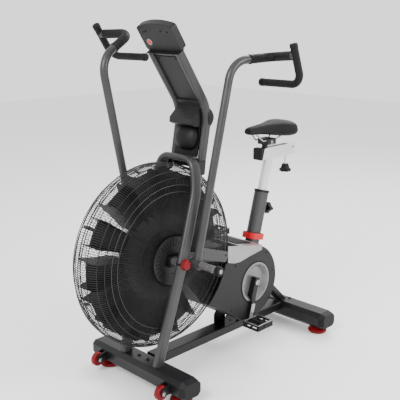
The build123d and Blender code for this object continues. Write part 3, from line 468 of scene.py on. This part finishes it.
# ---------------------------------------------------------------- fan cage
axle_low, axle_high = corners("fan_axle")
fan_middle = (axle_low + axle_high) / 2
cage_wires = 252
wire_radius = 0.00115
ring_steps = 160
cage_profile = (
    (0.090, 0.0925), (0.200, 0.0930), (0.286, 0.0925), (0.304, 0.0895), (0.322, 0.0810), (0.337, 0.0680),
    (0.349, 0.0520), (0.357, 0.0360), (0.3615, 0.0200), (0.3618, 0.0008),
)
# The belt passes through the right side of the cage at two places.
belt_gaps = (math.radians(-11.0), math.radians(-36.6))
belt_gap_half = math.radians(5.2)


def on_fan(outward, r, y):
    """A point at a distance out along a spoke and to the right of the fan's middle."""
    return fan_middle + outward * r + Vector((0, y, 0))


def ring_line(r, y):
    """A closed ring about the fan axle."""
    path = [fan_middle + Vector((r * math.cos(turn), y, r * math.sin(turn))) for turn in turns(ring_steps)]
    return path, Y, True


def ring_lines(rings):
    """Closed rings about the fan axle, on both sides of its middle."""
    return [ring_line(r, side * y) for side in (-1, 1) for r, y in rings]


lines = []
for side in (-1, 1):
    for turn in turns(cage_wires):
        outward, along_rim = upright_spoke(turn)
        path = [on_fan(outward, r, side * y) for r, y in cage_profile]
        off = min(abs((turn - gap + math.pi) % (2 * math.pi) - math.pi) for gap in belt_gaps)
        if side > 0 and off < belt_gap_half:
            lines += [(path[:3], along_rim, False), (path[6:], along_rim, False)]
        else:
            lines.append((path, along_rim, False))
cage = tubes("cage_wires", lines, wire_radius, 4, "wire", "frame")
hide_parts("guard_halves")

face_rings = ((0.092, 0.0945), (0.316, 0.0868), (0.3375, 0.0695), (0.3575, 0.0365))
tubes("cage_rings", ring_lines(face_rings), 0.0017, 6, "wire", "frame")
# The two support rings are grey, not black like the other wires: a painted highlight for the light lines
# along them.
tubes("cage_highlit_twin_rings", ring_lines(((0.265, 0.0948), (0.291, 0.0938))), 0.0013, 6, "grey_steel", "frame")
tubes("cage_rim", [ring_line(0.3618, -0.007), ring_line(0.3618, 0.007)], 0.0022, 6, "wire", "frame")

# Spring clips hold the two halves together round the rim.
clip_half_width = 0.006
clip_profile = (
    (0.3560, -0.030), (0.3606, -0.012), (0.3640, -0.011), (0.3652, 0.0), (0.3640, 0.011), (0.3606, 0.012),
    (0.3560, 0.030), (0.3578, 0.030), (0.3626, 0.013), (0.3654, 0.012), (0.3668, 0.0), (0.3654, -0.012),
    (0.3626, -0.013), (0.3578, -0.030),
)
outlines = []
depths = []
for turn in turns(8, 0.35):
    outward, along_rim = upright_spoke(turn)
    outlines.append([on_fan(outward, r, y) - along_rim * clip_half_width for r, y in clip_profile])
    depths.append(along_rim * (2 * clip_half_width))
plates("cage_clips", outlines, depths, "black_steel", "frame", edge=0.0003)

# ---------------------------------------------------------------- fan wheel
# Thirteen paddles, each two rounded plates on a web pressed in three fields.
paddle_pairs = 13
paddle_angle = math.radians(9.0)
plate_root = 0.1725
plate_tip = 0.3355
plate_half = 0.055
plate_thick = 0.0016
plate_corner = 0.016
web_half = 0.0008
web_fields = ((0.1725, 0.2260), (0.2262, 0.2798), (0.2800, 0.3335))

plate_edge = [(plate_root, -plate_half), (plate_tip - plate_corner, -plate_half)]
for k in range(1, 5):
    a = math.pi / 2 * k / 5
    plate_edge.append((
        plate_tip - plate_corner + plate_corner * math.sin(a),
        -plate_half + plate_corner * (1 - math.cos(a)),
    ))
plate_edge.append((plate_tip, -plate_half + plate_corner))
plate_edge += [(r, -y) for r, y in reversed(plate_edge)]

outlines = []
depths = []
for middle_turn in turns(paddle_pairs, 0.5):
    for lean in (-1, 1):
        turn = middle_turn + lean * paddle_angle
        outward = Vector((math.cos(turn), 0, -math.sin(turn)))
        sideways = Vector((math.sin(turn), 0, math.cos(turn)))
        outlines.append([on_fan(outward, r, y) - sideways * (plate_thick / 2) for r, y in plate_edge])
        depths.append(sideways * plate_thick)
    for inner, outer in web_fields:
        ring = []
        for r, ends in ((inner, (-1, 0, 1)), (outer, (1, 0, -1))):
            for end in ends:
                turn = middle_turn + end * paddle_angle
                ring.append(fan_middle + Vector((r * math.cos(turn), -web_half, -r * math.sin(turn))))
        outlines.append(ring)
        depths.append(Vector((0, 2 * web_half, 0)))
paddles = plates("fan_paddles", outlines, depths, "fan_metal", "fan", edge=0.0003)
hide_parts("fan_blades")

# Pressed ribs on both faces of the fan disc, and beads round its dish and its edge.
rib_profile = ((0.050, 0.0512), (0.110, 0.0482), (0.130, 0.0350), (0.151, 0.0212), (0.168, 0.0158))
lines = []
for side in (-1, 1):
    for turn in turns(paddle_pairs):
        outward, onward = upright_spoke(turn)
        lines.append(([on_fan(outward, r, side * y) for r, y in rib_profile], onward, False))
tubes("fan_disc_ribs", lines, 0.0028, 8, "fan_metal", "fan")
tubes("fan_disc_beads", ring_lines(((0.112, 0.0485), (0.1700, 0.0148))), 0.0022, 6, "fan_metal", "fan")

# ---------------------------------------------------------------- saddle
saddle_low, saddle_high = corners("saddle")
saddle_length = saddle_high.x - saddle_low.x
saddle_height = saddle_high.z - saddle_low.z
saddle_base = saddle_low.z
half_saddle = (saddle_high.y - saddle_low.y) / 2
saddle_ring = 24
# Along the saddle from nose to tail: place, half width, top and underside, as shares of its size.
saddle_stations = (
    (0.000, 0.150, 0.66, 0.44), (0.012, 0.210, 0.75, 0.35), (0.060, 0.245, 0.81, 0.31),
    (0.160, 0.265, 0.85, 0.28), (0.300, 0.300, 0.89, 0.25), (0.430, 0.380, 0.93, 0.19),
    (0.560, 0.550, 0.97, 0.11), (0.680, 0.760, 1.01, 0.03), (0.790, 0.930, 1.03, -0.03),
    (0.880, 1.000, 1.02, -0.05), (0.950, 0.970, 0.98, -0.03), (0.988, 0.830, 0.90, 0.07),
    (1.000, 0.640, 0.80, 0.18),
)
vertices = []
for along, wide, top, under in saddle_stations:
    crown = saddle_base + top * saddle_height
    base = saddle_base + under * saddle_height
    centre_z = base + (crown - base) * 0.42
    for turn in turns(saddle_ring):
        y = half_saddle * wide * signed_power(math.cos(turn), 0.72)
        rise = signed_power(math.sin(turn), 0.74)
        z = centre_z + rise * ((crown - centre_z) if rise > 0 else (centre_z - base))
        vertices.append((saddle_low.x + along * saddle_length, y, z))
saddle = mesh_object(
    "saddle_pad", vertices, skin(0, len(saddle_stations), saddle_ring), "saddle_cover", "saddle",
)
smoother = saddle.modifiers.new("smooth", "SUBSURF")
smoother.levels = 2
smoother.render_levels = 2
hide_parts("saddle")

# The cover's seam runs round the widest line of the pad.
seam = []
for side in (1, -1):
    for along, wide, top, under in saddle_stations[::side]:
        crown = saddle_base + top * saddle_height
        base = saddle_base + under * saddle_height
        seam.append(Vector((
            saddle_low.x + along * saddle_length, side * half_saddle * wide * 0.985,
            base + (crown - base) * 0.40,
        )))
tubes("saddle_seam", [(seam, Z, True)], 0.0014, 6, "black_plastic", "saddle")

# ---------------------------------------------------------------- base fittings
casing_screws = ((392, 158), (470, 156), (566, 205), (588, 330), (545, 420), (345, 408), (322, 214))
for side, name in both_sides:
    out = (0, side, 0)
    bolts(
        f"{name}_shroud_screws", [at(x, side * casing_face, z) for x, z in casing_screws],
        out, 0.0034, "frame", "black_steel",
    )
    bolts(f"{name}_wheel_bolt", [at(wheel_back, side * 209, wheel_up)], out, 0.0062, "frame")
    bolts(f"{name}_wheel_nut", [at(wheel_back, side * 175, wheel_up)], (0, -side, 0), 0.0062, "frame")
    bolts(
        f"{name}_side_panel_screws", [at(x, side * casing_face, z) for x, z in ((150, 516), (283, 470))],
        out, 0.003, "frame", "black_steel",
    )
    bolts(
        f"{name}_mast_bolts", [at(x, side * 87.6, z) for x, z in ((150, 832), (168, 858))],
        out, 0.0055, "frame",
    )
    bolts(f"{name}_peg_bolt", [at(pivot_back, side * 298, pivot_up)], out, 0.0060, "frame")
    bolts(f"{name}_head_bolt", [at(824, side * 22, 838)], out, 0.0042, "seat_post")
    bolts(f"{name}_clamp_bolt", [at(664, side * 29, 880)], out, 0.0060, "saddle")
for name, back, half_gap in (("front", front_tube_back, 26), ("rear", rear_tube_back, 34)):
    places = [at(back, y, tube_top) for y in (-half_gap, half_gap)]
    bolts(f"{name}_rail_bolts", places, Z, 0.0065, "frame", "black_steel")
bolts("bracket_screws", [at(401, -34, 122), at(422, -34, 142)], (0, -1, 0), 0.0045, "frame", "black_steel")
for side, name in both_sides:
    weld(f"{name}_fork_weld", at(-80, side * 94, 104.8), 0.0248, 0.0136, 0.0024)
weld("strut_weld", at(792, 0, 104.5), 0.022, 0.0225, 0.0024)
weld("seat_tube_weld", at(484, 0, 103), 0.0415, 0.0208, 0.0026)

# Grip ribs round the feet.
foot_rib = ((0.0395, 0.0045), (0.0428, 0.0050), (0.0428, 0.0126), (0.0330, 0.0186), (0.0320, 0.0160))
foot_rib_half = 0.0014
for distance, tag in ((front_tube_back, "front"), (rear_feet_back, "rear")):
    for side, name in both_sides:
        foot = at(distance, side * feet_across, 0)
        outlines = []
        depths = []
        for turn in turns(24):
            outward, onward = level_spoke(turn)
            outlines.append([foot + outward * r + Z * z - onward * foot_rib_half for r, z in foot_rib])
            depths.append(onward * (2 * foot_rib_half))
        body = "frame" if tag == "front" else f"{name}_rear_foot"
        plates(f"{tag}_{name}_foot_ribs", outlines, depths, "dark_red", body, edge=0.0002)

# ---------------------------------------------------------------- silver cover insert
cover_fall = 0.1953
cover_slope = Vector((1, 0, -cover_fall)).normalized()
cover_up = Vector((cover_fall, 0, 1)).normalized()


def on_cover(rearward):
    """A point on the middle line of the silver cover's sloping top."""
    return at(rearward, 0, 504 - cover_fall * (rearward - 297))


plates(
    "cover_insert", [rounded_patch(on_cover(436), cover_slope, Y, 0.052, 0.078, 0.008)], cover_up * 0.0016,
    "black_plastic", "frame", edge=0.0008,
)
outlines = [
    rounded_patch(on_cover(391 + 9 * i) + cover_up * 0.0014, cover_slope, Y, 0.0026, 0.071, 0.0022, 3)
    for i in range(11)
]
plates("cover_ribs", outlines, cover_up * 0.0016, "charcoal_plastic", "frame", edge=0.0004)

# Black rings close the gap round the crank discs; their dark colour is painted shade for the recess round
# each disc.
disc_shade_ring = 91.2
for side, name in both_sides:
    path = [
        at(crank_back + disc_shade_ring * math.cos(turn), side * 112.2, crank_up + disc_shade_ring * math.sin(turn))
        for turn in turns(96)
    ]
    tubes(f"{name}_disc_shade_ring", [(path, Y, True)], 0.0019, 8, "black_plastic", "frame")

# ---------------------------------------------------------------- cranks and pedals
crank_lean = math.radians(17.5)
crank_length = 0.165
screw_circle = 74
rim_height = 0.0075
both_ways = ((0, 1), (0, -1), (1, 0), (-1, 0))
for side, name in both_sides:
    out = (0, side, 0)
    pedal_body = f"{name}_pedal"
    along_crank = Vector((side * math.sin(crank_lean), 0, side * math.cos(crank_lean)))
    cross_crank = Vector((math.cos(crank_lean) * side, 0, -math.sin(crank_lean) * side))
    turned(
        f"{name}_crank_cap",
        ((-0.001, 0.0125), (0.0035, 0.0125), (0.0048, 0.0112), (0.0048, 0.0066), (0.0022, 0.0058)),
        [at(crank_back, side * 121, crank_up)], out, "bright_steel", "crank", 6,
    )
    turned(
        f"{name}_spindle_nut",
        ((-0.001, 0.0092), (0.0028, 0.0092), (0.0036, 0.0080), (0.0036, 0.0040), (0.0016, 0.0036)),
        [at(crank_back, side * 117, crank_up) + along_crank * crank_length], (0, -side, 0),
        "bright_steel", "crank", 24,
    )
    # A raised bright plate down the arm's outer face: a painted highlight where light falls on that face.
    crank_highlight_face = rounded_patch(
        at(crank_back, side * 128, crank_up) + along_crank * 0.134, cross_crank, along_crank,
        0.0105, 0.043, 0.008,
    )
    plates(f"{name}_crank_highlight_face", [crank_highlight_face], (0, side * 0.0014, 0), "bright_steel", "crank", edge=0.0004)
    bolts(f"{name}_disc_screws", [
        at(crank_back + screw_circle * math.cos(t), side * 114, crank_up + screw_circle * math.sin(t))
        for t in turns(5, 0.5)
    ], out, 0.0030, "crank", "disc_metal")

    # The pedal's body is an open cage: two rims on corner posts, and three bars across.
    pedal_low, pedal_high = corners(pedal_body)
    centre = (pedal_low + pedal_high) / 2
    half_x = (pedal_high.x - pedal_low.x) / 2
    half_y = (pedal_high.y - pedal_low.y) / 2
    half_z = (pedal_high.z - pedal_low.z) / 2
    outlines = []
    depths = []
    for face in (1, -1):
        for dx, dy in both_ways:
            wx, wy = (1.0, 0.085) if dy else (0.075, 1.0)
            bar = centre + Vector((dx * half_x * (1 - wx), dy * half_y * (1 - wy), face * half_z))
            outlines.append(rounded_patch(bar, X, Y, half_x * wx, half_y * wy, 0.0015, 3))
            depths.append((0, 0, -face * rim_height))
    for dx in (-1, 1):
        for dy in (-1, 1):
            post = centre + Vector((dx * (half_x - 0.006), dy * (half_y - 0.006), -half_z + 0.002))
            outlines.append(rounded_patch(post, X, Y, 0.0055, 0.0055, 0.003, 3))
            depths.append((0, 0, 2 * half_z - 0.004))
    for dy in (-1, 0, 1):
        bar = centre + Vector((0, dy * (half_y - 0.0045), -0.0045))
        outlines.append(rounded_patch(bar, X, Y, half_x - 0.002, 0.004, 0.002, 3))
        depths.append((0, 0, 0.009))
    pedal_cage = plates(f"{name}_pedal_cage", outlines, depths, "black_plastic", pedal_body)
    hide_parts(pedal_body)
    turned(
        f"{name}_pedal_barrel",
        ((0.0, 0.0095), (0.0, 0.0112), (0.006, 0.0118), (0.012, 0.0105), (0.070, 0.0105), (0.076, 0.0118),
         (0.0805, 0.0112), (0.0805, 0.0040)),
        [centre - Y * (side * (half_y - 0.0005))], out, "black_plastic", pedal_body, 28,
    )
    # Bright tread frames on both faces, with teeth along their long edges.
    for face, tag in ((1, "upper"), (-1, "lower")):
        outlines = []
        for dx, dy in both_ways:
            wx, wy = (0.97, 0.075) if dy else (0.065, 0.95)
            tread = centre + Vector((dx * half_x * 0.93, dy * half_y * 0.92, face * (half_z - 0.0002)))
            outlines.append(rounded_patch(tread, X, Y, half_x * wx, half_y * wy, 0.0012, 3))
        plates(
            f"{name}_pedal_{tag}_tread", outlines, (0, 0, face * 0.0018), "bright_steel", pedal_body,
            edge=0.0003,
        )
        outlines = []
        for row in (-1, 1):
            for i in range(8):
                tooth = centre + Vector((
                    half_x * (-0.8 + 1.6 * i / 7), row * half_y * 0.92, face * (half_z + 0.001),
                ))
                outlines.append([
                    tooth + Vector((x, -0.0007, face * z))
                    for x, z in ((-0.0030, 0), (0.0030, 0), (0.0008, 0.0022), (-0.0008, 0.0022))
                ])
        plates(f"{name}_pedal_{tag}_teeth", outlines, (0, 0.0014, 0), "bright_steel", pedal_body, edge=0.0001)
    turned(
        f"{name}_pedal_cap", ((-0.002, 0.0105), (0.0008, 0.0105), (0.0022, 0.0090), (0.0026, 0.0040)),
        [centre + Vector((0, side * (half_y - 0.0004), 0))], out, "black_plastic", pedal_body, 24,
    )

# ---------------------------------------------------------------- mast and console
tilt = Vector((0.8320, 0, 0.5548))
rise = Vector((-0.5548, 0, 0.8320))
console_origin = at(31, 0, 1335)


def on_console(across, up, out=0.0):
    """A point on the console's back plane, in millimetres."""
    return console_origin + Y * (across / 1000) + rise * (up / 1000) + tilt * (out / 1000)


plates(
    "upper_band", [[on_console(y, z) for y, z in ((-61.5, -58), (61.5, -58), (61.5, -74), (-61.5, -74))]],
    -tilt * 0.0035, "grey_steel", "frame", edge=0.0008,
)
bolts("band_screws", [on_console(y, -66, -3.5) for y in (-40, 40)], -tilt, 0.0030, "frame", "black_steel")
plates(
    "back_panel", [rounded_patch(on_console(2, -176), Y, rise, 0.055, 0.098, 0.004)], -tilt * 0.0032,
    "charcoal_plastic", "frame", edge=0.0008,
)
bolts("panel_screws", [on_console(y, -86, -3.2) for y in (-42, 46)], -tilt, 0.0028, "frame", "black_plastic")
plates(
    "lower_band", [rounded_patch(on_console(0, -289), Y, rise, 0.0618, 0.0125, 0.002)], -tilt * 0.010,
    "charcoal_plastic", "frame", edge=0.0008,
)

# A moulded bulge below the visor, the outside of the bottle cup's seat.
bulge_centre = at(178, 0, 958)
bulge_columns = 20
bulge_rows = 14
vertices = []
for i in range(bulge_rows + 1):
    lift = -math.pi / 2 + math.pi * i / bulge_rows
    for k in range(bulge_columns + 1):
        swing = -math.pi / 2 + math.pi * k / bulge_columns
        vertices.append(bulge_centre + Vector((
            -0.036 * math.cos(lift) * signed_power(math.cos(swing), 0.8) + 0.010 * math.sin(lift),
            0.0585 * math.cos(lift) ** 0.6 * math.sin(swing) if abs(math.cos(lift)) > 1e-6 else 0,
            0.050 * math.sin(lift),
        )))
faces = []
for i in range(bulge_rows):
    for k in range(bulge_columns):
        a = i * (bulge_columns + 1) + k
        faces.append((a, a + 1, a + bulge_columns + 2, a + bulge_columns + 1))
bulge = mesh_object("cup_seat_bulge", vertices, faces, "black_plastic", "frame")
bulge.modifiers.new("wall", "SOLIDIFY").thickness = 0.002

# Black mouldings cover the outside of each mast tube's elbow.
elbow_spans = 12
for side, name in both_sides:
    vertices = []
    for i in range(elbow_spans + 1):
        share = i / elbow_spans
        swell = math.sin(math.pi * share) ** 0.7 if 0 < share < 1 else 0.0
        centre = at(190 + 26 * math.sin(math.pi * (0.15 + 0.7 * share)), side * 76, 990 + 92 * share)
        for turn in turns(16):
            vertices.append(centre + Vector((
                (0.004 + 0.020 * swell) * signed_power(math.cos(turn), 0.8),
                (0.003 + 0.0125 * swell) * math.sin(turn), 0,
            )))
    mesh_object(f"{name}_elbow_moulding", vertices, skin(0, elbow_spans + 1, 16), "black_plastic", "frame")

# Back of the console: a plain round badge and two fixing holes with screws.
badge_place = on_console(58, -17)
turned(
    "badge", ((-0.001, 0.0128), (0.0010, 0.0128), (0.0018, 0.0120), (0.0018, 0.0104), (0.0011, 0.0100)),
    [badge_place], -tilt, "silver_plastic", "frame", 48,
)
turned(
    "badge_field", ((0.0, 0.0102), (0.0013, 0.0102), (0.0017, 0.0060), (0.0018, 0.0020)),
    [badge_place], -tilt, "red_plastic", "frame", 48,
)
bolts(
    "console_back_screws", [on_console(y, 30, 0.3) for y in (-29, 50)], -tilt, 0.0032,
    "frame", "black_plastic",
)

# A thin crown strip closes the top of the housing from corner to corner.
crown_radius = 302.03
crown_top = 61
crown_arc_end = 84.64
crown_spans = 60
half_crown = 91
corner_radius = 13.0
corner_x = 81.0
corner_y = 36.42
vertices = []
for i in range(crown_spans + 1):
    across = -half_crown + 2 * half_crown * i / crown_spans
    if abs(across) <= crown_arc_end:
        up = crown_top - crown_radius + math.sqrt(crown_radius ** 2 - across ** 2)
    else:
        up = corner_y + math.sqrt(corner_radius ** 2 - (abs(across) - corner_x) ** 2)
    for lift, out in ((0.8, 1.0), (0.8, 27.5), (-0.8, 27.5), (-0.8, 1.0)):
        vertices.append(on_console(across, up + lift, out))
crisp(mesh_object("console_crown", vertices, skin(0, crown_spans + 1, 4), "charcoal_plastic", "frame"))

# Front of the console: bezel, display panes and button collars.
console_front = 32.0
bezel = rounded_patch(on_console(0, 12, console_front), Y, rise, 0.0665, 0.0325, 0.0055, 6)
tubes("screen_bezel", [(bezel, tilt, True)], 0.0014, 8, "black_plastic", "frame")
panes = ((-44, 30, 17, 9), (0, 30, 21, 9), (44, 30, 17, 9), (-30, 2, 31, 13), (36, 2, 25, 13))
outlines = [
    rounded_patch(on_console(y, z, console_front - 2.4), Y, rise, w / 1000, h / 1000, 0.002, 3)
    for y, z, w, h in panes
]
plates("display_panes", outlines, tilt * 0.0006, "grey_plastic", "frame", edge=0.0002)
collar_radius = 9.2
for side, name in both_sides:
    path = [
        on_console(
            side * 30 + collar_radius * math.cos(turn), -38 + collar_radius * math.sin(turn), console_front,
        )
        for turn in turns(48)
    ]
    tubes(f"{name}_button_collar", [(path, tilt, True)], 0.0011, 8, "silver_plastic", "frame")

# ---------------------------------------------------------------- seat group fittings
half_head_cap = 23.6
head_cap = ((599.2, 808), (599.2, 851), (604, 856.4), (626, 856.4), (611, 803.4), (603, 803.4))
plates(
    "head_cap", [[at(x, -half_head_cap, z) for x, z in head_cap]], (0, 2 * half_head_cap / 1000, 0),
    "black_plastic", "seat_post", edge=0.0022,
)
turned(
    "head_knob_stem", ((0.0, 0.0068), (0.046, 0.0068), (0.0462, 0.0100), (0.0495, 0.0100)),
    [at(head_knob_back, 0, 757)], Z, "chrome", "head_knob", 24,
)
flute = ((0.0195, 0.0145), (0.0208, 0.0140), (0.0145, 0.0345), (0.0125, 0.0345))
flute_half = 0.0012
knob = at(head_knob_back, 0, 726)
outlines = []
depths = []
for turn in turns(12, 0.5):
    outward, onward = level_spoke(turn)
    outlines.append([knob + outward * r + Z * z - onward * flute_half for r, z in flute])
    depths.append(onward * (2 * flute_half))
plates("head_knob_flutes", outlines, depths, "black_plastic", "head_knob", edge=0.0003)

# A lip round the top of the seat tube's sleeve.
tube_line = Vector((0.2638730, 0, 0.9645574))
tube_side = Vector((0.9645574, 0, -0.2638730))
lip_centre = at(484, 0, 102) + tube_line * 0.5755
path = []
for turn in turns(72):
    x = 0.0190 * (1 if math.cos(turn) > 0 else -1) + 0.0205 * math.cos(turn)
    path.append(lip_centre + tube_side * x + Y * (0.0205 * math.sin(turn)))
tubes("collar_lip", [(path, tube_line, True)], 0.0016, 8, "black_plastic", "frame")

# ---------------------------------------------------------------- arm fittings
# A collar where each sleeve starts, round caps on the grip bars and a hexagonal cap on each pivot.
bar_cap = ((-0.012, 0.0156), (0.0, 0.0156), (0.003, 0.0140), (0.0045, 0.0090), (0.0048, 0.0020))
for side, angle, name in ((-1, 13.85, "left"), (1, -11.36, "right")):
    body = f"{name}_arm"
    swing = Matrix.Rotation(math.radians(angle), 3, "Y")
    bend, reach, top, corner, tail = (
        at(pivot_back, 0, pivot_up) + swing @ Vector((x / 1000, side * y / 1000, z / 1000))
        for x, y, z in ((0, 175, 767), (183, 205, 822), (129, 342, 862), (195, 361, 726), (202, 161, 726))
    )
    turned(
        f"{name}_sleeve_collar", ((-0.003, 0.0162), (-0.003, 0.0186), (0.0015, 0.0190), (0.004, 0.0180)),
        [bend * 0.56 + reach * 0.44], reach - bend, "rubber", body,
    )
    turned(f"{name}_bar_top_cap", bar_cap, [top], top - corner, "rubber", body)
    turned(f"{name}_bar_end_cap", bar_cap, [tail], tail - corner, "rubber", body)
    turned(
        f"{name}_arm_bolt", ((-0.001, 0.0165), (0.0025, 0.0165), (0.0035, 0.0150), (0.0035, 0.0080)),
        [at(pivot_back, side * 190.9, pivot_up)], (0, side, 0), "black_steel", body, 6,
    )
